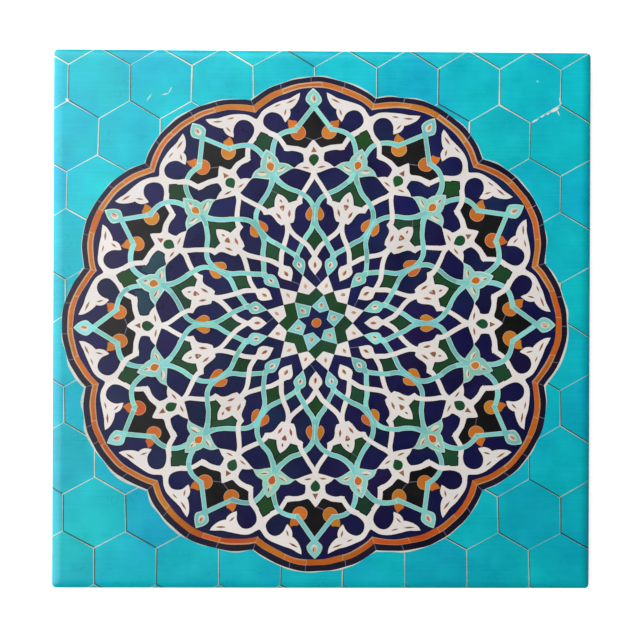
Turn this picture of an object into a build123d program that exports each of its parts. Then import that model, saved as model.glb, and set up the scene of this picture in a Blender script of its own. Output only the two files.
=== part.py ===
from build123d import *

import math
import os

# Square pressed ceramic wall tile, lying on its back with the glazed face up.
# The origin is the centre of the back, and +Z points out of the glazed face.

# Driving dimensions, millimetres and degrees
TILE_SIDE = 152.0  # across the tile at its widest, just under the cushioned edge
TILE_THICKNESS = 6.0
CORNER_RADIUS = 1.2  # the four upright corners, in plan
SIDE_DRAFT = 3.0  # the sides lean in towards the back, as they leave the die
BACK_ARRIS_RADIUS = 0.4

# The cushioned edge: the glazed face rolls over to the sides in a quarter of an ellipse
CUSHION_WIDTH = 2.8
CUSHION_DROP = 1.1
CUSHION_STEPS = 8  # plans that the rolled edge is lofted through

# The keyed back: a grid of shallow pockets between ribs, which the adhesive grips
KEY_POCKETS_PER_SIDE = 6
KEY_DEPTH = 0.7
KEY_RIB_WIDTH = 3.0
KEY_BORDER_WIDTH = 7.0  # plain band between the pockets and the edge of the back
KEY_CORNER_RADIUS = 1.6
KEY_WALL_DRAFT = 25.0  # the pocket walls lean, so that the press pulls clear

# An arris takes at most this share of the corner radius that it runs round
LARGEST_ARRIS_SHARE = 0.9

SHOULDER_HEIGHT = TILE_THICKNESS - CUSHION_DROP  # where the sides end and the cushion begins
BACK_SIDE = TILE_SIDE - 2 * SHOULDER_HEIGHT * math.tan(math.radians(SIDE_DRAFT))


def plan(side, height):
    """The tile's outline in plan: a square with rounded corners, at a height above the back."""
    return Pos(0, 0, height) * RectangleRounded(side, side, CORNER_RADIUS)


def drafted_sides():
    """The body from the back up to the shoulder, with the arris of the back eased."""
    body = loft([plan(BACK_SIDE, 0), plan(TILE_SIDE, SHOULDER_HEIGHT)], ruled=True)
    back_edges = body.faces().sort_by(Axis.Z)[0].edges()
    return fillet(back_edges, min(BACK_ARRIS_RADIUS, LARGEST_ARRIS_SHARE * CORNER_RADIUS))


def cushioned_face():
    """The top of the body, whose edge follows a quarter of an ellipse from the sides to the face."""
    plans = []
    for step in range(CUSHION_STEPS + 1):
        turn = math.radians(90 * step / CUSHION_STEPS)
        inset = CUSHION_WIDTH * (1 - math.cos(turn))
        plans.append(plan(TILE_SIDE - 2 * inset, SHOULDER_HEIGHT + CUSHION_DROP * math.sin(turn)))
    return loft(plans)


def keyed_back():
    """The grid of pockets, as the blocks that the press sinks into the back."""
    keyed_side = BACK_SIDE - 2 * KEY_BORDER_WIDTH
    pitch = (keyed_side + KEY_RIB_WIDTH) / KEY_POCKETS_PER_SIDE
    pocket_side = pitch - KEY_RIB_WIDTH
    pocket = extrude(Rectangle(pocket_side, pocket_side), amount=KEY_DEPTH, taper=KEY_WALL_DRAFT)
    upright_edges = pocket.edges() - pocket.edges().filter_by(Plane.XY)
    pocket = fillet(upright_edges, KEY_CORNER_RADIUS)
    centres = GridLocations(pitch, pitch, KEY_POCKETS_PER_SIDE, KEY_POCKETS_PER_SIDE)
    return [centre * pocket for centre in centres]


os.makedirs("parts", exist_ok=True)
export_step(drafted_sides() + cushioned_face() - keyed_back(), "parts/tile.step")
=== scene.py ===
import math
import random

import bmesh
import bpy
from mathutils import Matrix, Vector
from mathutils.geometry import delaunay_2d_cdt


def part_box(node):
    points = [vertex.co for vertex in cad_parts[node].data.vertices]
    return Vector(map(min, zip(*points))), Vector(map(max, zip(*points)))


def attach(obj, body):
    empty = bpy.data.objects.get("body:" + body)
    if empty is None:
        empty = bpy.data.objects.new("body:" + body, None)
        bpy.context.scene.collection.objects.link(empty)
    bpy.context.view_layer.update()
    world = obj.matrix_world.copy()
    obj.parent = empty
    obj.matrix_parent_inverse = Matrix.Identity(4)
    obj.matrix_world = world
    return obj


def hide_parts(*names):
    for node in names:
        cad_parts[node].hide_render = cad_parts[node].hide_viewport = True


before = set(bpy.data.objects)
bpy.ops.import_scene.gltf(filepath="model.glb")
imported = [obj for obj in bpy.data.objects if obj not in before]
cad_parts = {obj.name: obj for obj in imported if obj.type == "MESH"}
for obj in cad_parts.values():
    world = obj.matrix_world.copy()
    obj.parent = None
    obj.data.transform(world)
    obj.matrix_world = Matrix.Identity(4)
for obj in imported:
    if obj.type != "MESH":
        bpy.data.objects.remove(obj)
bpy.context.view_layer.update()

# A square wall tile, face up, with a mosaic rosette printed under its glaze.
# The print is drawn in millimetres on the face, and cut into the mesh as areas of pigment.

MM = 0.001
SEED = 12

# The body, as in the CAD, millimetres
TILE_LOW, TILE_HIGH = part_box("tile")
HALF_SIDE = (TILE_HIGH.x - TILE_LOW.x) / MM / 2
THICKNESS = TILE_HIGH.z / MM
CORNER_RADIUS = 1.2
CUSHION_WIDTH = 2.8
CUSHION_DROP = 1.1
SHOULDER = THICKNESS - CUSHION_DROP

# How finely the rolled edge is cut
CUSHION_STEPS = 10
CORNER_STEPS = 8
SUPPORT_WIDTH = 0.15  # flat band inside the rolled edge, which keeps the face's shading flat
PRINT_MARGIN = 0.02  # the print stops this far short of the widest line of the sides

# The printed picture, millimetres and degrees
WOBBLE = 0.12  # the unevenness of a mosaic cut by hand
FINE_WOBBLE = 0.07
ROSETTE_RADIUS = 70.64
ROSETTE_CENTRE = (-1.98, -0.98)  # the picture is cut a little off centre
ROSETTE_STRETCH = (1.0096, 0.9873)
ROSETTE_TURN = 0.64
ROSETTE_LEAN = 0.27  # millimetres to the right at its top, and to the left at its bottom
ROSETTE_BOW = -0.37  # across, at its top and its bottom
ROSETTE_FLARE = 0.83  # the upper half is wider than the lower
ROSETTE_SAG = -1.08  # up, at its left and its right
ROSETTE_DIP = -0.19  # up, at its top and its bottom
ROSETTE_SLANT = 0.95  # up, at its upper right and its lower left
ROSETTE_PINCH = 7.0  # how strongly the rings of flowers round the star are drawn in
STAR_SHIFT = 0.33  # the star in the middle sits to the right of the rosette's centre
STAR_REACH = 14.0
HEXAGON_WIDTH = 17.476  # between upright joints
HEXAGON_ANCHOR = (-72.28, 66.24)  # middle of an upright joint
HEXAGON_JOINTS = (0.47, 0.46, 0.20)  # falling to the right, upright, and rising to the right
HEXAGON_LEAN = (0.0023, -0.0036)  # across for each millimetre up, and up for each millimetre across
HEXAGON_TWIST = -0.00007
HEXAGON_STRAY = 0.10  # how far a corner lies from its place, as the hexagons were cut by hand
# Where the shadow in a joint lies beyond the corners of its hexagon, clockwise from the top
JOINT_SHADOW = ((0, 0), (0, 0), (0, 0), (-0.30, -0.17), (-0.24, -0.22), (-0.24, -0.14))

# The rosette, in hundredths of its radius
LOBES = 12
SECTOR = 360 / LOBES
LOBE = 0.0  # axis of a lobe, degrees
CUSP = SECTOR / 2  # axis of the cusp on its right
BORDER_CENTRE = 63.1  # from the rosette's centre to the centre of a lobe's arcs
CURVE_STEPS = 4

chance = random.Random(SEED)
layers = []  # (pigment, outline) from the bottom up


# Drawing

def curve(points):
    """A smooth line through the points, as a Catmull-Rom spline."""
    if len(points) < 3:
        return list(points)
    line = []
    for i in range(len(points) - 1):
        before = points[max(i - 1, 0)]
        after = points[min(i + 2, len(points) - 1)]
        for step in range(CURVE_STEPS):
            t = step / CURVE_STEPS
            line.append(tuple(
                b + 0.5 * t * (c - a + t * (2 * a - 5 * b + 4 * c - d + t * (3 * b - a - 3 * c + d)))
                for a, b, c, d in zip(before, points[i], points[i + 1], after)))
    return line + [points[-1]]


def outline(*runs):
    """A closed outline of smooth runs that meet in sharp corners."""
    return [point for run in runs for point in curve(run)[:-1]]


def symmetric(*runs):
    """A closed outline across its axis, from the runs down its right side."""
    right = outline(*runs) + [runs[-1][-1]]
    return right + [(-x, y) for x, y in reversed(right) if x > 0.01]


def strap(line, width):
    """A ribbon of even width along a smooth line."""
    points = curve(line)
    left = []
    right = []
    for i, (x, y) in enumerate(points):
        x0, y0 = points[max(i - 1, 0)]
        x1, y1 = points[min(i + 1, len(points) - 1)]
        reach = 0.5 * width / math.hypot(x1 - x0, y1 - y0)
        left.append((x - (y1 - y0) * reach, y + (x1 - x0) * reach))
        right.append((x + (y1 - y0) * reach, y - (x1 - x0) * reach))
    return left + right[::-1]


def disc(centre, radius, sides=20):
    turns = [2 * math.pi * k / sides for k in range(sides)]
    return [(centre[0] + radius * math.sin(turn), centre[1] + radius * math.cos(turn)) for turn in turns]


def stroke(start, end, width):
    """A brush stroke, pointed at both ends."""
    x = (start[0] + end[0]) / 2
    y = (start[1] + end[1]) / 2
    reach = 0.5 * width / math.dist(start, end)
    across = ((start[1] - end[1]) * reach, (end[0] - start[0]) * reach)
    left = (x + across[0], y + across[1])
    right = (x - across[0], y - across[1])
    return outline([start, left, end], [end, right, start])


def drop(top, bottom, half_width, widest=0.45):
    """A drop on the axis, round at the top and pointed at the bottom."""
    length = top - bottom
    return symmetric(
        [(0, top), (0.7 * half_width, top - 0.14 * length), (half_width, top - widest * length),
         (0.6 * half_width, top - 0.78 * length), (0, bottom)])


def anticlockwise(shape):
    area = sum(shape[i - 1][0] * y - shape[i - 1][1] * x for i, (x, y) in enumerate(shape))
    return shape if area > 0 else shape[::-1]


def expanded(shape, reach):
    """An outline moved outward."""
    points = anticlockwise(shape)
    moved = []
    for i, (x, y) in enumerate(points):
        x0, y0 = points[i - 1]
        x1, y1 = points[(i + 1) % len(points)]
        share = reach / math.hypot(x1 - x0, y1 - y0)
        moved.append((x + share * (y1 - y0), y - share * (x1 - x0)))
    return moved


def scaled(shape, centre, share):
    """An outline drawn in towards a centre."""
    return [tuple(c + share * (p - c) for p, c in zip(point, centre)) for point in shape]


def strayed(point, stray):
    """A point moved by chance."""
    return tuple(p + chance.uniform(-stray, stray) for p in point)


def wobble(x, y):
    """A point of the picture in millimetres, moved by the unevenness of the mosaic."""
    dx = WOBBLE * math.sin(0.31 * x + 0.23 * y + 1.0) + FINE_WOBBLE * math.sin(0.83 * y - 0.47 * x)
    dy = WOBBLE * math.sin(0.27 * y - 0.35 * x + 2.0) + FINE_WOBBLE * math.sin(0.77 * x + 0.59 * y)
    return x + dx, y + dy


def bent(x, y):
    """The rosette's own lean and bends, as it was laid by hand, in millimetres from its centre."""
    u = x / ROSETTE_RADIUS
    v = y / ROSETTE_RADIUS
    share = min(math.hypot(u, v), 1.0)
    pinch = ROSETTE_PINCH * share * (1 - share) ** 3
    return (x - pinch * u + ROSETTE_LEAN * v + ROSETTE_BOW * v * v + ROSETTE_FLARE * u * v,
            y - pinch * v + ROSETTE_SAG * u * u + ROSETTE_DIP * v * v + ROSETTE_SLANT * u * v)


def placed(shape, turn):
    """A shape from rosette units to millimetres on the face, turned clockwise about its centre."""
    angle = math.radians(90 + ROSETTE_TURN - turn)
    unit = ROSETTE_RADIUS / 100
    points = []
    for across, out in shape:
        x = unit * ROSETTE_STRETCH[0] * (out * math.cos(angle) + across * math.sin(angle))
        y = unit * ROSETTE_STRETCH[1] * (out * math.sin(angle) - across * math.cos(angle))
        shift = STAR_SHIFT * math.exp(-(x * x + y * y) / STAR_REACH ** 2)
        x, y = bent(x, y)
        points.append(wobble(ROSETTE_CENTRE[0] + x + shift, ROSETTE_CENTRE[1] + y))
    return points


BOTH = (1, -1)
RIGHT = (1,)
LEFT = (-1,)


def lay(pigment, shape, axis, sides=RIGHT, every=1, first=0, odds=1.0, stray=0.0):
    """Lays a shape in the sectors, as drawn (side 1) or mirrored (side -1), by chance and off its place."""
    for sector in range(first, LOBES, every):
        for side in sides:
            if chance.random() > odds:
                continue
            dx, dy = strayed((0, 0), stray)
            drawn = [(side * x + dx, y + dy) for x, y in shape]
            layers.append((pigment, placed(drawn, side * axis + SECTOR * sector)))


def border_point(radius, share):
    """A point on a lobe's border, by its radius and its share of the way to a cusp."""
    half = math.radians(CUSP) + math.asin(BORDER_CENTRE / radius * math.sin(math.radians(CUSP)))
    return radius * math.sin(half * share), BORDER_CENTRE + radius * math.cos(half * share)


def ring_piece(inner, outer, start, end, steps=5):
    """A piece of a lobe's ring between two radii and two shares of the way to the cusp."""
    shares = [start + (end - start) * step / steps for step in range(steps + 1)]
    return ([border_point(outer, share) for share in shares]
            + [border_point(inner, share) for share in reversed(shares)])


def sunk(radius, sector, sink):
    """A radius of the border's arcs, less at the top of the rosette and more at its bottom."""
    return radius - sink * math.cos(math.radians(SECTOR * sector))


def scallop(radius, sink=0.0, steps=24):
    """The twelve-lobed outline, of arcs that meet in cusps."""
    points = []
    for sector in range(LOBES):
        arc = [border_point(sunk(radius, sector, sink), 2 * step / steps - 1) for step in range(steps)]
        points += placed(arc, SECTOR * sector)
    return points


def hexagon(x, y):
    """A hexagon of the ground, set back by half of each joint, with its corners a little off."""
    reach = [(HEXAGON_WIDTH - HEXAGON_JOINTS[k % 3]) / 2 for k in range(6)]
    corners = []
    for k in range(6):
        turn = math.radians(60 * k)
        out = (reach[k - 1] + reach[k]) / math.sqrt(3)
        across = reach[k] - reach[k - 1]
        u = x + out * math.sin(turn) + across * math.cos(turn)
        v = y + out * math.cos(turn) - across * math.sin(turn)
        leaning = (u + HEXAGON_LEAN[0] * v + HEXAGON_TWIST * u * v, v + HEXAGON_LEAN[1] * u)
        corners.append(strayed(wobble(*leaning), HEXAGON_STRAY))
    return corners


def edge_loop(inset):
    """The tile's outline in plan, moved in by an inset, anticlockwise."""
    middle = HALF_SIDE - inset - CORNER_RADIUS
    points = []
    for quarter in range(4):
        x = middle if quarter in (0, 3) else -middle
        y = middle if quarter in (0, 1) else -middle
        for step in range(CORNER_STEPS + 1):
            turn = math.radians(90 * (quarter + step / CORNER_STEPS))
            points.append((x + CORNER_RADIUS * math.cos(turn), y + CORNER_RADIUS * math.sin(turn)))
    return points


def clipped(shape, window):
    """The part of a shape inside a convex window that runs anticlockwise."""
    for (x0, y0), (x1, y1) in zip(window, window[1:] + window[:1]):
        sides = [(x1 - x0) * (y - y0) - (y1 - y0) * (x - x0) for x, y in shape]
        kept = []
        for i, (x, y) in enumerate(shape):
            if sides[i - 1] * sides[i] < 0:
                t = sides[i - 1] / (sides[i - 1] - sides[i])
                before = shape[i - 1]
                kept.append((before[0] + t * (x - before[0]), before[1] + t * (y - before[1])))
            if sides[i] >= 0:
                kept.append((x, y))
        shape = kept
    return shape


# Ground of turquoise hexagons, with pale joints that a shadow lies in
rise = HEXAGON_WIDTH * math.sqrt(3) / 2
print_edge = edge_loop(PRINT_MARGIN)
hexagons = []
for row in range(-2, 11):
    for column in range(-2, 11):
        x = HEXAGON_ANCHOR[0] + HEXAGON_WIDTH * (column + 0.5 + 0.5 * (row % 2))
        y = HEXAGON_ANCHOR[1] - rise * row
        hexagons.append(hexagon(x, y))
shadows = []
for corners in hexagons:
    depth = chance.uniform(0.5, 1.5)
    shadows.append([(x + depth * dx, y + depth * dy) for (x, y), (dx, dy) in zip(corners, JOINT_SHADOW)])
for pigment, outlines in (("joint_shadow", shadows), ("ground", hexagons)):
    for corners in outlines:
        shape = clipped(corners, print_edge)
        if shape:
            layers.append((pigment, shape))

# Scratches in the hexagons and chips along their joints, millimetres: start, end and width
SCRATCHES = (
    ((-49.9, 61.2), (-48.2, 63.6), 0.3),
    ((-45.6, 63.1), (-43.4, 63.6), 0.3),
    ((-43.6, 63.5), (-42.6, 65.6), 0.25),
    ((60.4, 67.8), (61.0, 67.5), 0.4))
CHIPS = (
    ((58.9, 55.9), (61.1, 57.1), 0.5),
    ((61.5, 57.4), (62.8, 58.2), 0.4),
    ((63.1, 58.2), (64.4, 58.9), 0.45),
    ((64.3, 58.9), (67.0, 60.4), 0.95),
    ((66.3, 59.6), (67.0, 57.9), 0.35),
    ((67.5, 61.0), (66.8, 63.2), 0.35),
    ((-72.7, 61.8), (-71.5, 61.4), 0.8))
for pigment, marks in (("joint", SCRATCHES), ("white", CHIPS)):
    for start, end, width in marks:
        layers.append((pigment, stroke(start, end, width)))

# Uneven line of grout round the border, lobe by lobe clockwise from the top
INK_RADIUS = 37.05
INK_SINK = 0.35  # the outer ring is thicker at the bottom
GROUT = (0.35, 0.3, 0.35, 0.5, 0.35, 0.35, 0.25, 0.5, 0.6, 0.55, 0.15, 0.3)  # beyond the outer ring
GROUT_STEPS = 10
GROUT_SPREAD = (-0.3, 2.0)
CREAM_GROUT = (3, 4, 5, 6)  # lobes
for sector, reach in enumerate(GROUT):
    shares = [2 * k / GROUT_STEPS - 1 for k in range(GROUT_STEPS + 1)]
    radii = [sunk(INK_RADIUS + reach * chance.uniform(*GROUT_SPREAD), sector, INK_SINK) for share in shares]
    line = [border_point(radius, share) for radius, share in zip(radii, shares)]
    back = [border_point(INK_RADIUS - 1, share) for share in reversed(shares)]
    pigment = "cream" if sector in CREAM_GROUT else "grout"
    layers.append((pigment, placed(curve(line) + back, SECTOR * sector)))

# Border rings: joint, piece, inner and outer radius, sink, pieces a lobe and how far their edges stray
NAVY_RADIUS = 32.45
NAVY_SINK = 0.1
RINGS = (
    ("hair", "ink", 34.7, INK_RADIUS, INK_SINK, 4, 0.05),
    ("tan", "orange", NAVY_RADIUS, 34.8, NAVY_SINK, 4, 0.65))
RING_JOINT = 0.0055  # half a joint, as a share of half a lobe
for joint, pigment, inner, outer, sink, pieces, stray in RINGS:
    layers.append((joint, scallop(outer, sink)))
    for sector in range(LOBES):
        cuts = [2 * (k + chance.uniform(-0.3, 0.3)) / pieces - 1 for k in range(1, pieces)]
        for start, end in zip([-1] + cuts, cuts + [1]):
            piece = ring_piece(
                inner + stray * chance.random(), sunk(outer, sector, sink) - stray * chance.random(),
                start + RING_JOINT, end - RING_JOINT)
            layers.append((pigment, placed(piece, SECTOR * sector)))
layers.append(("navy", scallop(NAVY_RADIUS, NAVY_SINK)))

# Black and green pieces
lay("black", [
    (0, 86.4), (5.6, 79), (8, 77.9), (13.2, 76.3), (11.8, 74.2), (10.6, 72.2), (9.5, 71.3), (0, 71.3)],
    LOBE, BOTH)
lay("green", symmetric(
    [(0, 81.4), (4.3, 76.7)], [(4.3, 76.7), (3.4, 74.2), (2.6, 71.5)], [(2.6, 71.5), (0, 71.5)]), CUSP)
lay("green", [(0, 60.5), (3, 57), (7.4, 53), (7.4, 50), (6.6, 49), (0, 49)], CUSP, BOTH)
lay("green", symmetric([(0, 39.5), (3.0, 33.6)], [(3.0, 33.6), (0, 29)]), LOBE)

# Two of the navy pieces at the left were made good in teal
TEAL = [(3.5, 64.5), (8.6, 63.1), (11, 64.5), (14.5, 67.5), (14.5, 71), (4, 70.5)]
lay("teal", TEAL, LOBE, RIGHT, every=LOBES, first=9)
lay("teal", TEAL, LOBE, LEFT, every=LOBES, first=10)

# Pale straps and pieces: straps as a line and a width, the others as outlines
LEG = [(0.1, 87.75), (7.05, 78.3)]
ARM = [(6.3, 78.35), (7.6, 78.35), (9.0, 78.15), (11.3, 77.5), (13.3, 76.4), (14.8, 75.0), (15.8, 73.0),
       (16.4, 70.7), (16.5, 68.5)]
LOWER = [(15.6, 60.4), (14.25, 58.35), (12.3, 56.4), (9.6, 54.6), (6.6, 53.4), (4.4, 52.2), (2.7, 51.0),
         (1.5, 49.6), (0.8, 48.2), (0.4, 46.6), (0.28, 44.5), (0.3, 42.4), (0.6, 40.3), (1.3, 38.4),
         (2.3, 36.9), (3.3, 35.5), (4.5, 33.4), (5.8, 30.8), (6.9, 28.6), (7.2, 27.2)]
TURQUOISE_STRAPS = ((LEG, 1.4), (ARM, 1.5), (LOWER, 1.45))
STRAP_EDGE = 0.5  # the pale edges of a turquoise strap, both together

LEAF = outline(
    [(5.3, 93.4), (7.4, 92.4), (9.5, 91.3), (12.5, 90.4), (15.5, 89.3), (18.2, 88.0), (20.1, 86.5),
     (21.2, 84.9), (21.9, 83.8), (22.7, 83.1)],
    [(22.7, 83.1), (20.98, 78.3)],
    [(20.98, 78.3), (19.0, 77.3), (17.4, 76.3), (15.6, 75.1)],
    [(15.6, 75.1), (13.6, 76.6)],
    [(13.6, 76.6), (15.2, 77.35), (16.95, 78.15), (18.6, 79.4), (19.7, 81.0), (19.8, 82.7), (19.1, 84.4),
     (17.8, 85.6), (16.2, 86.1), (14.4, 85.7), (12.9, 84.7), (12.0, 83.4), (11.6, 82.4), (11.0, 81.5)],
    [(11.0, 81.5), (10.2, 82.4), (9.4, 83.5), (9.0, 84.8), (9.0, 86.0), (9.2, 86.6)],
    [(9.2, 86.6), (8.2, 87.3), (7.0, 88.6), (6.0, 90.2), (5.4, 91.8), (5.3, 93.4)])
LEAF_STRAP = strap([(17.6, 77.2), (15.3, 76.1), (13.7, 75.0), (12.7, 73.6), (11.4, 71.4)], 1.9)
WHITE_FLOWER = symmetric(
    [(0, 74.6), (0.8, 73.8), (1.6, 72.7), (2.5, 71.5), (3.4, 71.25), (4.8, 71.7), (6.5, 72.15), (8.2, 72.2),
     (9.9, 72.3)],
    [(9.9, 72.3), (12.0, 72.6)],
    [(12.0, 72.6), (12.0, 70.2)],
    [(12.0, 70.2), (10.4, 69.95), (8.5, 70.2), (6.5, 70.0), (5, 69.5), (4.2, 69.0)],
    [(4.2, 69.0), (4.0, 67.6), (4.05, 66.4), (4.3, 65.5)],
    [(4.3, 65.5), (5.5, 65.1), (6.8, 64.3), (7.6, 63.6), (8.5, 63.2)],
    [(8.5, 63.2), (7.0, 62.9), (5, 62.2), (3, 61.5), (1.1, 60.9)],
    [(1.1, 60.9), (0, 59.0)])
FLOWER_STRAP = strap(
    [(0, 61.6), (0.5, 59.7), (1.3, 58.1), (2.3, 56.75), (4.4, 53.65), (5.5, 51.6), (6.2, 49.8)], 1.85)
PALMETTE = symmetric(
    [(0, 54.9), (0.9, 54.1), (1.7, 53.1), (2.35, 51.8), (2.75, 50.6), (2.85, 50.0)],
    [(2.85, 50.0), (4.6, 49.95), (6.5, 50.0)],
    [(6.5, 50.0), (7.0, 50.6), (7.1, 51.6)],
    [(7.1, 51.6), (8.6, 50.8)],
    [(8.6, 50.8), (8.2, 49.3), (8.1, 48.3)],
    [(8.1, 48.3), (7.2, 48.0), (6.0, 47.7), (5.1, 47.0), (4.5, 46.0), (4.05, 44.9), (3.6, 43.6)],
    [(3.6, 43.6), (2.6, 42.0)],
    [(2.6, 42.0), (1.2, 41.95)],
    [(1.2, 41.95), (1.1, 41.0), (0, 39)])
PALMETTE_STRAP = strap(
    [(0.15, 41.9), (0.35, 40.4), (0.9, 38.6), (2.0, 36.55), (3.4, 34.55), (4.6, 32.75), (5.75, 30.9),
     (6.45, 28.75), (7.0, 26.8)], 1.9)
WHITE_BUD = symmetric(
    [(0, 28.8), (0.9, 27.3), (1.3, 26.6)],
    [(1.3, 26.6), (1.9, 25.9), (2.55, 25.2), (2.8, 24.2), (2.55, 23.0), (1.9, 21.9), (0.9, 20.7), (0, 19.6)])
STAR_POINT = [(0, 20.1), (3.75, 14.2), (0, 12.0), (-3.75, 14.2)]
TOP_BUD = symmetric(
    [(0, 95.4), (1.2, 94.2), (2.35, 92.8), (3.05, 91.2), (3.1, 90.1), (2.65, 89.3), (1.8, 88.4)],
    [(1.8, 88.4), (0, 86.0)])
TOP_BUD_BODY = symmetric(
    [(0, 94.6), (1.0, 93.7), (2.0, 92.5), (2.6, 91.1), (2.65, 90.2), (2.25, 89.5), (1.5, 88.8)],
    [(1.5, 88.8), (1.4, 87.9), (0.9, 86.9)],
    [(0.9, 86.9), (0, 86.1)])
TURQUOISE_FLOWER = symmetric(
    [(0, 73.3), (0.9, 72.5), (1.4, 71.9), (2.7, 70.0)],
    [(2.7, 70.0), (3.3, 68.9), (3.6, 67.9), (3.75, 66.9)],
    [(3.75, 66.9), (5.0, 66.5), (6.3, 65.9), (7.3, 65.0), (8.0, 64.0), (8.8, 63.2)],
    [(8.8, 63.2), (7.0, 63.2), (5.5, 62.8), (3.8, 62.2), (1.9, 61.5)],
    [(1.9, 61.5), (0, 60.4)])
SMALL_BUD = symmetric(
    [(0, 30.2), (1.2, 28.4), (1.15, 27.4)],
    [(1.15, 27.4), (1.9, 26.8), (2.5, 25.7), (2.4, 24.5), (1.8, 23.0), (1.0, 21.6), (0, 19.9)])

# Dark line of setting round the pale pieces
SETTING = 0.4
for line, width in TURQUOISE_STRAPS:
    lay("line", strap(line, width + STRAP_EDGE + 2 * SETTING), LOBE, BOTH)
for piece in (LEAF, LEAF_STRAP, FLOWER_STRAP):
    lay("line", expanded(piece, SETTING), LOBE, BOTH)
for piece in (WHITE_FLOWER, WHITE_BUD, TOP_BUD):
    lay("line", expanded(piece, SETTING), LOBE)
for piece in (PALMETTE, STAR_POINT, TURQUOISE_FLOWER, SMALL_BUD):
    lay("line", expanded(piece, SETTING), CUSP)
lay("line", expanded(PALMETTE_STRAP, SETTING), CUSP, BOTH)

# Hairline joints where a colour is set in more than one piece
lay("hair", strap([(3.8, 75.8), (0, 74.2)], 0.3), LOBE, BOTH, odds=0.5)
lay("hair", strap([(0, 19.9), (2.2, 16.7)], 0.3), LOBE, odds=0.8)
lay("hair", strap([(0, 54.8), (2.4, 57.4)], 0.25), CUSP, LEFT, odds=0.4)
lay("line", strap([(0, 54.8), (2.0, 58.4)], 0.3), CUSP, RIGHT, odds=0.5)
lay("line", strap([(2.4, 25.0), (5.6, 26.6)], 0.3), LOBE, BOTH, odds=0.35)

# Orange beads that the straps run through
for pigment, radius in (("tan", 3.0), ("amber", 2.75)):
    lay(pigment, disc((6.0, 77.5), radius), LOBE, BOTH)
lay("amber", outline(
    [(5.8, 80.6), (6.6, 82.0)],
    [(6.6, 82.0), (8.2, 82.1), (9.9, 82.6)],
    [(9.9, 82.6), (9.9, 80.6), (9.4, 79.0)],
    [(9.4, 79.0), (5.8, 80.6)]), LOBE, BOTH)

# Turquoise straps
for pigment, extra in (("edge", STRAP_EDGE), ("turquoise", 0.0)):
    for line, width in TURQUOISE_STRAPS:
        lay(pigment, strap(line, width + extra), LOBE, BOTH)
for end in ((5.2, 78.9), (7.2, 80.2)), ((7.6, 77.3), (7.9, 79.3)):
    lay("edge", strap(end, 0.35), LOBE, BOTH, odds=0.35)
lay("turquoise", symmetric(
    [(0, 48.7), (0.9, 48.7)], [(0.9, 48.7), (0.95, 46.6), (0.95, 44.5), (0.95, 42.4), (1.2, 40.4)],
    [(1.2, 40.4), (0, 39.4)]), LOBE)
lay("edge", strap([(0.1, 47.6), (0, 44.5), (0.1, 41.4)], 0.35), LOBE, odds=0.6, stray=0.2)

# White leaf, its loop and the strap that leaves it
lay("white", LEAF, LOBE, BOTH)
lay("white", LEAF_STRAP, LOBE, BOTH)
lay("brown", stroke((6.8, 91.0), (10.8, 89.1), 0.8), LOBE, BOTH, stray=0.25)
lay("brown", stroke((12.4, 88.8), (15.3, 87.8), 0.6), LOBE, BOTH, odds=0.8, stray=0.3)
lay("brown", stroke((10.5, 86.8), (11.3, 83.9), 0.7), LOBE, BOTH, stray=0.25)

# White flower on the axis of the lobe
lay("white", WHITE_FLOWER, LOBE)
lay("white", FLOWER_STRAP, LOBE, BOTH)
lay("emerald", symmetric([(0, 68.6), (1.2, 68.2), (1.95, 67.1), (1.9, 65.9), (1.0, 64.6), (0, 63.7)]), LOBE)
lay("brown", [(0, 71.6), (1.15, 69.3), (-1.15, 69.3)], LOBE, stray=0.15)
lay("brown", stroke((1.4, 63.1), (4.7, 63.5), 0.75), LOBE, BOTH, stray=0.2)

# White palmette on the axis of the cusp, and the straps below it
lay("white", PALMETTE, CUSP)
lay("white", PALMETTE_STRAP, CUSP, BOTH)
lay("brown", stroke((-0.2, 52.4), (0.35, 50.7), 0.75), CUSP, stray=0.2)
lay("brown", outline([(-1.1, 49.4), (0, 49.7), (1.1, 49.4)], [(1.1, 49.4), (0.7, 48.2), (0, 47.2)],
                     [(0, 47.2), (-0.7, 48.2), (-1.1, 49.4)]), CUSP, stray=0.15)
lay("pink", disc((-0.2, 48.3), 0.42, 8), CUSP, odds=0.7, stray=0.15)
lay("brown", stroke((2.9, 47.4), (1.6, 44.2), 1.05), CUSP, BOTH, stray=0.2)

# White buds round the star
lay("white", WHITE_BUD, LOBE)
lay("pink", drop(22.2, 24.9, 0.7), LOBE, stray=0.15)
lay("brown", drop(22.4, 24.7, 0.45), LOBE, stray=0.2)

# Where a turquoise strap passes over a white one
CROSSINGS = (
    ([(12.2, 77.1), (13.3, 76.4), (14.8, 75.0), (15.6, 73.5)], 1.5, RIGHT),
    ([(7.6, 53.9), (6.6, 53.4), (4.4, 52.2), (3.2, 51.4)], 1.45, LEFT),
    ([(2.7, 36.35), (3.3, 35.5), (4.5, 33.4), (5.6, 31.2)], 1.45, RIGHT))
for pigment, extra in (("edge", STRAP_EDGE), ("turquoise", 0.0)):
    for line, width, side in CROSSINGS:
        lay(pigment, strap(line, width + extra), LOBE, side)

# Turquoise bud at the top of the lobe
lay("edge", TOP_BUD, LOBE)
lay("turquoise", TOP_BUD_BODY, LOBE)
lay("edge", drop(89.1, 93.1, 1.4), LOBE, stray=0.1)
lay("cream", drop(89.4, 92.8, 1.1), LOBE, stray=0.15)
lay("pink", drop(89.8, 92.6, 0.8), LOBE, stray=0.2)
lay("brown", stroke((0.3, 90.0), (0.4, 92.2), 0.55), LOBE, stray=0.35)

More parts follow.
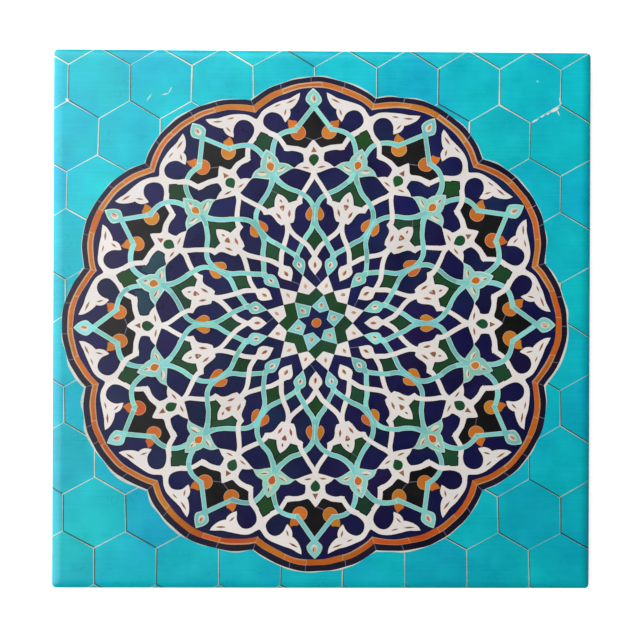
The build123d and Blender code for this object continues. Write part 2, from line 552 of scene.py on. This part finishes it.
# Turquoise flower on the axis of the cusp
lay("edge", TURQUOISE_FLOWER, CUSP)
lay("mint", scaled(TURQUOISE_FLOWER, (0, 65.2), 0.88), CUSP)
lay("cream", drop(68.1, 63.8, 1.8), CUSP)
lay("amber", drop(67.8, 64.2, 1.45), CUSP)
lay("cream", [(0, 71.2), (1.2, 68.3), (-1.2, 68.3)], CUSP, stray=0.15)
lay("brown", stroke((0.1, 70.7), (0.5, 68.8), 0.6), CUSP, stray=0.25)
lay("cream", stroke((1.9, 63.4), (6.0, 64.7), 1.7), CUSP, BOTH, stray=0.2)
lay("brown", stroke((2.2, 64.1), (5.4, 64.9), 0.55), CUSP, BOTH, stray=0.3)

for pigment, width in (("edge", 1.5 + STRAP_EDGE), ("turquoise", 1.5)):
    lay(pigment, strap([(0.1, 63.1), (0.5, 62.0), (1.15, 59.9), (2.0, 58.6)], width), CUSP, BOTH)

# Orange half drops between the palmettes
for pigment, inset in (("tan", 0.0), ("amber", 0.28)):
    lay(pigment, outline(
        [(1.9, 47.7 - inset), (2.7 - inset, 46.6), (3.4 - inset, 45.4), (3.7 - inset, 44.4),
         (3.5 - inset, 43.3), (2.9 - inset, 42.4), (2.1, 41.9 + inset)],
        [(2.1, 41.9 + inset), (1.4, 42.5), (1.1, 43.5), (1.0, 44.5), (1.1, 45.8), (1.4, 46.9),
         (1.9, 47.7 - inset)]), LOBE, BOTH)

# Turquoise buds round the star
lay("edge", SMALL_BUD, CUSP)
lay("turquoise", scaled(SMALL_BUD, (0, 25.0), 0.87), CUSP)
lay("cream", drop(23.4, 26.1, 1.1), CUSP, stray=0.15)
lay("brown", stroke((-0.2, 23.8), (0.0, 25.7), 0.75), CUSP, stray=0.2)

# Star in the middle
lay("white", STAR_POINT, CUSP)
lay("tan", stroke((-0.4, 14.7), (0.3, 16.9), 1.3), CUSP, stray=0.3)
lay("brown", stroke((-0.1, 15.0), (0.3, 16.5), 0.45), CUSP, odds=0.5, stray=0.3)
lay("green", [(0, 7.6), (6.05, 10.45), (3.65, 13.95), (0, 12.05), (-3.65, 13.95), (-6.05, 10.45)], CUSP,
    every=2, first=1)
KITE = [(0, 4.2), (3.6, 6.25), (0, 12.0), (-3.6, 6.25)]
lay("edge", KITE, CUSP, every=2)
lay("turquoise", scaled(KITE, (0, 7.2), 0.87), CUSP, every=2)
lay("edge", drop(5.8, 8.9, 1.2), CUSP, every=2, stray=0.1)
lay("pink", drop(6.2, 8.4, 0.75), CUSP, every=2, stray=0.15)
lay("brown", stroke((-0.2, 6.7), (-0.1, 8.2), 0.5), CUSP, every=2, stray=0.3)
star = []
for k in range(LOBES):
    turn = math.radians(CUSP + SECTOR * k)
    radius = 6.9 if k % 2 else 4.2
    star.append((radius * math.sin(turn), radius * math.cos(turn)))
layers.append(("navy", placed(star, 0)))
layers.append(("tan", placed(disc((0, 0), 1.95), 0)))
layers.append(("amber", placed(disc((0, 0), 1.7), 0)))


# Materials

def linear(colour):
    """An sRGB colour of 0 to 255 as the renderer's linear one, with full alpha."""
    shares = [channel / 255 for channel in colour]
    return [s / 12.92 if s <= 0.04045 else ((s + 0.055) / 1.055) ** 2.4 for s in shares] + [1.0]


class Nodes:
    """Adds and links the nodes of one material."""

    def __init__(self, material):
        material.use_nodes = True
        self.tree = material.node_tree
        self.tree.nodes.clear()

    def add(self, kind, inputs=None, **settings):
        node = self.tree.nodes.new(kind)
        for name, value in settings.items():
            setattr(node, name, value)
        for name, value in (inputs or {}).items():
            if isinstance(value, bpy.types.NodeSocket):
                self.tree.links.new(value, node.inputs[name])
            else:
                node.inputs[name].default_value = value
        return node


# Painted light falloff: each pigment is painted brighter and hazier at the upper left of the picture than at
# its lower right, as the light falls from the upper left
LIGHT_FALLOFF_DIRECTION = (-0.4, 0.92, 0.0)
LIGHT_FALLOFF_REACH = 100.0 * MM

# Pigment: colour at the upper left and lower right, between which its painted light falloff runs, spread of
# pieces in shade and in tint, and mottle
PIGMENTS = {
    "joint": ((222, 231, 216), (162, 174, 156), 0.12, 0.0, 0.30),
    "joint_shadow": ((52, 102, 98), (24, 70, 72), 0.05, 0.0, 0.25),
    "ground": ((4, 199, 216), (0, 170, 186), 0.065, 0.009, 0.13),
    "grout": ((220, 226, 218), (190, 182, 168), 0.06, 0.0, 0.25),
    "ink": ((24, 20, 52), (16, 11, 33), 0.25, 0.02, 0.20),
    "orange": ((205, 120, 42), (180, 74, 14), 0.12, 0.006, 0.14),
    "amber": ((214, 125, 44), (187, 96, 26), 0.09, 0.007, 0.10),
    "tan": ((222, 178, 140), (176, 130, 94), 0.08, 0.0, 0.15),
    "navy": ((16, 20, 82), (5, 8, 52), 0.20, 0.012, 0.22),
    "black": ((18, 16, 16), (8, 6, 6), 0.20, 0.0, 0.20),
    "green": ((24, 74, 42), (20, 60, 30), 0.18, 0.03, 0.18),
    "emerald": ((26, 88, 46), (18, 68, 32), 0.12, 0.02, 0.15),
    "teal": ((32, 72, 88), (22, 52, 66), 0.10, 0.0, 0.15),
    "line": ((24, 20, 32), (16, 12, 22), 0.10, 0.0, 0.10),
    "white": ((241, 235, 231), (225, 218, 214), 0.03, 0.0, 0.05),
    "turquoise": ((133, 215, 211), (117, 192, 187), 0.18, 0.020, 0.10),
    "mint": ((156, 220, 208), (132, 197, 186), 0.08, 0.015, 0.10),
    "edge": ((196, 230, 221), (166, 200, 190), 0.08, 0.0, 0.15),
    "cream": ((238, 230, 214), (216, 204, 186), 0.05, 0.0, 0.10),
    "brown": ((168, 110, 78), (132, 80, 54), 0.18, 0.014, 0.15),
    "pink": ((226, 178, 150), (202, 150, 122), 0.08, 0.0, 0.10),
    "hair": ((124, 118, 134), (92, 84, 98), 0.15, 0.0, 0.20),
}
NOISE_RANGE = {"From Min": 0.3, "From Max": 0.7}
MOTTLE_SCALE = 130.0
STREAK_SCALE = (60.0, 1900.0, 1.0)  # fine lines across the picture
STREAK_SHARE = 0.35
CLOUD_SCALE = 55.0
CLOUD_HUE = 0.015
GLAZE_IOR = 1.46
GLAZE_ROUGHNESS = (0.26, 0.34)
PEEL_SCALE = 900.0
PEEL_DEPTH = 0.004 * MM


def glaze(name, lit_upper_left, shaded_lower_right, shade_spread, tint_spread, mottle):
    """A pigment under clear glaze: painted lighter towards the upper left as painted light falloff, uneven
    from piece to piece and mottled.
    """
    material = bpy.data.materials.new("glaze_" + name)
    nodes = Nodes(material)
    place = nodes.add("ShaderNodeTexCoord").outputs["Object"]
    # Painted light falloff: the colour runs from the shaded lower right's to the lit upper left's across the
    # picture
    along = nodes.add("ShaderNodeVectorMath", {0: place, 1: LIGHT_FALLOFF_DIRECTION}, operation="DOT_PRODUCT")
    light_falloff = nodes.add("ShaderNodeMapRange", {
        "Value": along.outputs["Value"], "From Min": -LIGHT_FALLOFF_REACH, "From Max": LIGHT_FALLOFF_REACH})
    colour = nodes.add("ShaderNodeMix", {
        0: light_falloff.outputs[0], 6: linear(shaded_lower_right), 7: linear(lit_upper_left)}, data_type="RGBA")
    noise = nodes.add("ShaderNodeTexNoise", {
        "Vector": place, "Scale": MOTTLE_SCALE, "Detail": 3.0, "Roughness": 0.6})
    stretched = nodes.add("ShaderNodeVectorMath", {0: place, 1: STREAK_SCALE}, operation="MULTIPLY")
    streaks = nodes.add("ShaderNodeTexNoise", {"Vector": stretched.outputs[0], "Scale": 1.0, "Detail": 2.0})
    uneven = nodes.add("ShaderNodeMix", {0: STREAK_SHARE, 2: noise.outputs["Fac"], 3: streaks.outputs["Fac"]})
    mottled = nodes.add("ShaderNodeMapRange", {
        "Value": uneven.outputs[0], **NOISE_RANGE, "To Min": 1 - mottle, "To Max": 1 + mottle})
    shade = nodes.add("ShaderNodeAttribute", attribute_name="shade")
    value = nodes.add("ShaderNodeMath", {
        0: shade.outputs["Fac"], 1: shade_spread, 2: mottled.outputs[0]}, operation="MULTIPLY_ADD")
    tint = nodes.add("ShaderNodeAttribute", attribute_name="tint")
    clouds = nodes.add("ShaderNodeTexNoise", {"Vector": place, "Scale": CLOUD_SCALE, "Detail": 3.0})
    cloud_hue = nodes.add("ShaderNodeMapRange", {
        "Value": clouds.outputs["Fac"], **NOISE_RANGE, "To Min": 0.5 - CLOUD_HUE, "To Max": 0.5 + CLOUD_HUE})
    hue = nodes.add("ShaderNodeMath", {
        0: tint.outputs["Fac"], 1: tint_spread, 2: cloud_hue.outputs[0]}, operation="MULTIPLY_ADD")
    toned = nodes.add("ShaderNodeHueSaturation", {
        "Color": colour.outputs[2], "Hue": hue.outputs[0], "Value": value.outputs[0]})
    roughness = nodes.add("ShaderNodeMapRange", {
        "Value": noise.outputs["Fac"], **NOISE_RANGE,
        "To Min": GLAZE_ROUGHNESS[0], "To Max": GLAZE_ROUGHNESS[1]})
    peel = nodes.add("ShaderNodeTexNoise", {"Vector": place, "Scale": PEEL_SCALE, "Detail": 2.0})
    bump = nodes.add("ShaderNodeBump", {"Height": peel.outputs["Fac"], "Distance": PEEL_DEPTH})
    surface = nodes.add("ShaderNodeBsdfPrincipled", {
        "Base Color": toned.outputs["Color"], "Roughness": roughness.outputs[0], "IOR": GLAZE_IOR,
        "Normal": bump.outputs["Normal"]})
    nodes.add("ShaderNodeOutputMaterial", {"Surface": surface.outputs["BSDF"]})
    return material


PALE_CLAY = (232, 224, 210)
DARK_CLAY = (214, 203, 186)
CLAY_SPECKS = (150, 132, 112)
SPECK_STRENGTH = 0.35
RUN_GLAZE = (196, 226, 226)  # the glaze that ran over the upper edge of the sides
RUN_DEPTH = 3 * MM  # how unevenly it ran


def bisque():
    """The unglazed body: off-white fired clay with fine specks, and glaze that ran over its edge."""
    material = bpy.data.materials.new("bisque")
    nodes = Nodes(material)
    place = nodes.add("ShaderNodeTexCoord").outputs["Object"]
    clouds = nodes.add("ShaderNodeTexNoise", {"Vector": place, "Scale": 60.0, "Detail": 5.0})
    body = nodes.add("ShaderNodeMix", {
        0: clouds.outputs["Fac"], 6: linear(PALE_CLAY), 7: linear(DARK_CLAY)}, data_type="RGBA")
    specks = nodes.add("ShaderNodeTexVoronoi", {"Vector": place, "Scale": 420.0})
    speck = nodes.add("ShaderNodeMapRange", {
        "Value": specks.outputs["Distance"], "From Min": 0.10, "From Max": 0.16,
        "To Min": SPECK_STRENGTH, "To Max": 0.0})
    specked = nodes.add("ShaderNodeMix", {
        0: speck.outputs[0], 6: body.outputs[2], 7: linear(CLAY_SPECKS)}, data_type="RGBA")
    height = nodes.add("ShaderNodeSeparateXYZ", {0: place}).outputs["Z"]
    run = nodes.add("ShaderNodeMath", {
        0: clouds.outputs["Fac"], 1: RUN_DEPTH, 2: height}, operation="MULTIPLY_ADD")
    glazed = nodes.add("ShaderNodeMapRange", {
        "Value": run.outputs[0], "From Min": 5.4 * MM, "From Max": 5.7 * MM})
    colour = nodes.add("ShaderNodeMix", {
        0: glazed.outputs[0], 6: specked.outputs[2], 7: linear(RUN_GLAZE)}, data_type="RGBA")
    roughness = nodes.add("ShaderNodeMapRange", {"Value": glazed.outputs[0], "To Min": 0.85, "To Max": 0.2})
    grain = nodes.add("ShaderNodeTexNoise", {"Vector": place, "Scale": 2200.0, "Detail": 3.0})
    bump = nodes.add("ShaderNodeBump", {"Height": grain.outputs["Fac"], "Distance": 0.03 * MM})
    surface = nodes.add("ShaderNodeBsdfPrincipled", {
        "Base Color": colour.outputs[2], "Roughness": roughness.outputs[0], "Normal": bump.outputs["Normal"]})
    nodes.add("ShaderNodeOutputMaterial", {"Surface": surface.outputs["BSDF"]})
    return material


# The tile's mesh: the CAD's sides and back, and a face cut along the edges of the print

CUT_EPSILON = 1e-5
STRAIGHT = 1e-4  # a point this close to the line between its neighbours isn't needed
WELD = 1e-6
SHARP_ANGLE = 40
PIECE_SPREAD = 0.6  # of the pieces' shades and tints


def inset_at(x, y):
    """How far in from the widest line of the sides a point of the face lies, in plan."""
    less, more = sorted((abs(x), abs(y)))
    if more - less >= CORNER_RADIUS:
        return HALF_SIDE - more
    round_corner = math.sqrt(2 * CORNER_RADIUS ** 2 - (more - less) ** 2)
    return HALF_SIDE - CORNER_RADIUS - (less + more - round_corner) / 2


def height_at(x, y):
    """The face's height: flat, and a quarter of an ellipse where it rolls over to the sides."""
    inset = min(max(inset_at(x, y), 0.0), CUSHION_WIDTH)
    return SHOULDER + CUSHION_DROP * math.sqrt(1 - (1 - inset / CUSHION_WIDTH) ** 2)


def cut_face(rim):
    """Cuts the face into triangles: their points, corners and layers, and each point's place on the rim."""
    shapes = [rim] + [anticlockwise(shape) for pigment, shape in layers]
    points = []
    faces = []
    edges = []
    for shape in shapes:
        faces.append(range(len(points), len(points) + len(shape)))
        points += shape
    turns = [math.pi / 2 * k / CUSHION_STEPS for k in range(1, CUSHION_STEPS + 1)]
    insets = [CUSHION_WIDTH * (1 - math.cos(turn)) for turn in turns]
    for inset in insets + [CUSHION_WIDTH + SUPPORT_WIDTH]:
        loop = range(len(points), len(points) + 4 * (CORNER_STEPS + 1))
        points += edge_loop(inset)
        edges += [(loop[k - 1], loop[k]) for k in range(len(loop))]
    places, joined, triangles, sources, edge_sources, tops = delaunay_2d_cdt(
        [Vector(p) for p in points], edges, [list(face) for face in faces], 1, CUT_EPSILON, True)
    rim_of = [min(source, default=len(rim)) for source in sources]
    loops = [line for line, source in zip(joined, edge_sources) if source and min(source) < len(edges)]
    return recut(places, triangles, [max(top) for top in tops], rim_of, loops, len(rim))


def needed_lines(places, left, loops, fixed):
    """The edges of the pieces and of the rolled edge, without the points along their straight runs."""
    beside = {}
    shown = [(a, b) for a, b in left if left[a, b] != left.get((b, a))]
    for a, b in shown + list(loops):
        beside.setdefault(a, set()).add(b)
        beside.setdefault(b, set()).add(a)
    for v in list(beside):
        if v in fixed or len(beside[v]) != 2:
            continue
        a, b = sorted(beside[v])
        before = places[v] - places[a]
        after = places[b] - places[v]
        bow = abs(before.cross(after)) / (before + after).length
        if b in beside[a] or before.dot(after) <= 0 or bow > STRAIGHT:
            continue
        for start, end in ((a, b), (b, a)):
            left[start, end] = left.get((start, v))
            beside[start].remove(v)
            beside[start].add(end)
        del beside[v]
    return beside


def recut(places, triangles, tops, rim_of, loops, rim_size):
    """Cuts the face again along the lines that show, without the hidden edges of lower layers."""
    left = {}
    for t, corners in enumerate(triangles):
        for k in range(3):
            left[corners[k - 1], corners[k]] = tops[t]
    fixed = {v for v, k in enumerate(rim_of) if k < rim_size}
    beside = needed_lines(places, left, loops, fixed)
    kept = sorted(beside)
    number = {v: k for k, v in enumerate(kept)}
    lines = [(number[a], number[b]) for a in kept for b in sorted(beside[a]) if a < b]
    points, joined, faces, sources, edge_sources, face_sources = delaunay_2d_cdt(
        [places[v] for v in kept], lines, [], 1, CUT_EPSILON, True)
    origin = [kept[min(source)] for source in sources]
    sides = {}
    for t, corners in enumerate(faces):
        for k in range(3):
            sides[corners[k - 1], corners[k]] = t
    top_of = [None] * len(faces)
    waiting = []
    for (a, b), t in sides.items():
        top = left.get((origin[a], origin[b]))
        if top is not None and top_of[t] is None:
            top_of[t] = top
            waiting.append(t)
    while waiting:
        t = waiting.pop()
        for k in range(3):
            a, b = faces[t][k - 1], faces[t][k]
            other = sides.get((b, a))
            if other is not None and top_of[other] is None and origin[b] not in beside[origin[a]]:
                top_of[other] = top_of[t]
                waiting.append(other)
    return points, faces, top_of, [rim_of[v] for v in origin]


def patches(triangles, tops):
    """Numbers the connected patches of one layer, which are the pieces of the mosaic."""
    beside = {}
    for t, corners in enumerate(triangles):
        for k in range(3):
            beside.setdefault(tuple(sorted((corners[k - 1], corners[k]))), []).append(t)
    neighbours = [[] for t in triangles]
    for pair in beside.values():
        if len(pair) == 2 and tops[pair[0]] == tops[pair[1]]:
            neighbours[pair[0]].append(pair[1])
            neighbours[pair[1]].append(pair[0])
    number = [None] * len(triangles)
    count = 0
    for start in range(len(triangles)):
        if number[start] is not None:
            continue
        number[start] = count
        waiting = [start]
        while waiting:
            for t in neighbours[waiting.pop()]:
                if number[t] is None:
                    number[t] = count
                    waiting.append(t)
        count += 1
    return number, count


# Places on the texture map: the face takes most of it, and the sides and the back the strips beside it
FACE_SHARE = 0.88
MAP_GAP = 0.01


def map_place(normal, x, y, z):
    """A point's place on the texture map, from its place in millimetres and its face's normal."""
    across = x / HALF_SIDE / 2 + 0.5
    along = y / HALF_SIDE / 2 + 0.5
    strip = 1 - FACE_SHARE - MAP_GAP
    if normal.z > 0.2:
        return FACE_SHARE * across, FACE_SHARE * along
    if normal.z < -0.5:
        return FACE_SHARE * across, FACE_SHARE + MAP_GAP + strip * along
    if abs(normal.x) > abs(normal.y):
        side = 0 if normal.x > 0 else 1
        run = along
    else:
        side = 2 if normal.y > 0 else 3
        run = across
    return FACE_SHARE + MAP_GAP + strip * (side + 0.9 * z / THICKNESS) / 4, FACE_SHARE * run


def build_tile():
    names = list(PIGMENTS)
    body = bmesh.new()
    body.from_mesh(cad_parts["tile"].data)
    bmesh.ops.remove_doubles(body, verts=body.verts, dist=WELD)
    lowest = (SHOULDER - 0.01) * MM
    face = [f for f in body.faces if min(v.co.z for v in f.verts) > lowest]
    bmesh.ops.delete(body, geom=face, context="FACES")
    for f in body.faces:
        f.material_index = len(names)
    rim = [v for v in body.verts if any(e.is_boundary for e in v.link_edges)]
    rim.sort(key=lambda v: math.atan2(v.co.y, v.co.x))
    places, triangles, tops, rim_of = cut_face([(v.co.x / MM, v.co.y / MM) for v in rim])
    number, count = patches(triangles, tops)
    shades = [chance.gauss(0, PIECE_SPREAD) for k in range(count)]
    tints = [chance.gauss(0, PIECE_SPREAD) for k in range(count)]
    shade = body.faces.layers.float.new("shade")
    tint = body.faces.layers.float.new("tint")
    corners = []
    for (x, y), k in zip(places, rim_of):
        corners.append(rim[k] if k < len(rim) else body.verts.new((x * MM, y * MM, height_at(x, y) * MM)))
    for t, triangle in enumerate(triangles):
        f = body.faces.new([corners[k] for k in triangle])
        pigment = layers[tops[t] - 1][0] if tops[t] else "joint"
        f.material_index = names.index(pigment)
        f[shade] = shades[number[t]]
        f[tint] = tints[number[t]]
    body.normal_update()
    uv = body.loops.layers.uv.new("OFBake")
    for f in body.faces:
        f.smooth = f.material_index < len(names)
        for corner in f.loops:
            corner[uv].uv = map_place(f.normal, *(corner.vert.co / MM))
    mesh = bpy.data.meshes.new("printed_tile")
    body.to_mesh(mesh)
    body.free()
    # The CAD copy's normals would shade the flat back as if it were round
    imported_normals = mesh.attributes.get("custom_normal")
    if imported_normals:
        mesh.attributes.remove(imported_normals)
    mesh.set_sharp_from_angle(angle=math.radians(SHARP_ANGLE))
    for name in names:
        mesh.materials.append(glaze(name, *PIGMENTS[name]))
    mesh.materials.append(bisque())
    tile = bpy.data.objects.new("printed_tile", mesh)
    bpy.context.scene.collection.objects.link(tile)
    return tile


tile = build_tile()
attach(tile, "root")
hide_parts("tile")


# Stage: a plain white floor, a soft key light from the left and a camera that looks straight down

FLOOR_REACH = 3.0
FLOOR_GLOW = 0.8
KEY_PLACE = (-0.728, 0.265, 0.709)
KEY_SIZE = (2.2, 1.5)
KEY_POWER = 29.0
WORLD_STRENGTH = 0.045


def build_floor():
    mesh = bpy.data.meshes.new("floor")
    r = FLOOR_REACH
    mesh.from_pydata([(-r, -r, 0), (r, -r, 0), (r, r, 0), (-r, r, 0)], [], [(0, 1, 2, 3)])
    material = bpy.data.materials.new("floor_white")
    nodes = Nodes(material)
    path = nodes.add("ShaderNodeLightPath").outputs
    seen = path["Is Camera Ray"]
    for ray in ("Is Glossy Ray", "Is Transmission Ray"):
        seen = nodes.add("ShaderNodeMath", {0: seen, 1: path[ray]}, operation="MAXIMUM").outputs[0]
    glow = nodes.add("ShaderNodeMath", {0: seen, 1: FLOOR_GLOW}, operation="MULTIPLY")
    surface = nodes.add("ShaderNodeBsdfPrincipled", {
        "Base Color": linear((240, 240, 240)), "Roughness": 0.9, "Specular IOR Level": 0.0,
        "Emission Color": (1, 1, 1, 1), "Emission Strength": glow.outputs[0]})
    nodes.add("ShaderNodeOutputMaterial", {"Surface": surface.outputs["BSDF"]})
    mesh.materials.append(material)
    floor = bpy.data.objects.new("floor", mesh)
    bpy.context.scene.collection.objects.link(floor)


def build_light(name, place, width, height, power):
    """A soft box that faces the tile."""
    lamp = bpy.data.lights.new(name, "AREA")
    lamp.shape = "RECTANGLE"
    lamp.size = width
    lamp.size_y = height
    lamp.energy = power
    light = bpy.data.objects.new(name, lamp)
    light.location = place
    light.rotation_euler = (-Vector(place)).to_track_quat("-Z", "Y").to_euler()
    bpy.context.scene.collection.objects.link(light)


# Camera: almost straight above the tile, a little to its left
LENS = 85.0
SENSOR = 36.0
CAMERA_PLACE = (-7.48 * MM, -0.74 * MM, 435.35 * MM)
CAMERA_TURN = (0.0, -0.991, 0.24)

build_floor()
build_light("key", KEY_PLACE, *KEY_SIZE, KEY_POWER)

world = bpy.data.worlds.new("studio")
world.use_nodes = True
world.node_tree.nodes["Background"].inputs["Color"].default_value = (1, 1, 1, 1)
world.node_tree.nodes["Background"].inputs["Strength"].default_value = WORLD_STRENGTH
scene = bpy.context.scene
scene.world = world
scene.view_settings.view_transform = "Standard"

lens = bpy.data.cameras.new("camera")
lens.lens = LENS
lens.sensor_width = SENSOR
camera = bpy.data.objects.new("camera", lens)
camera.location = CAMERA_PLACE
camera.rotation_euler = [math.radians(turn) for turn in CAMERA_TURN]
scene.collection.objects.link(camera)
scene.camera = camera
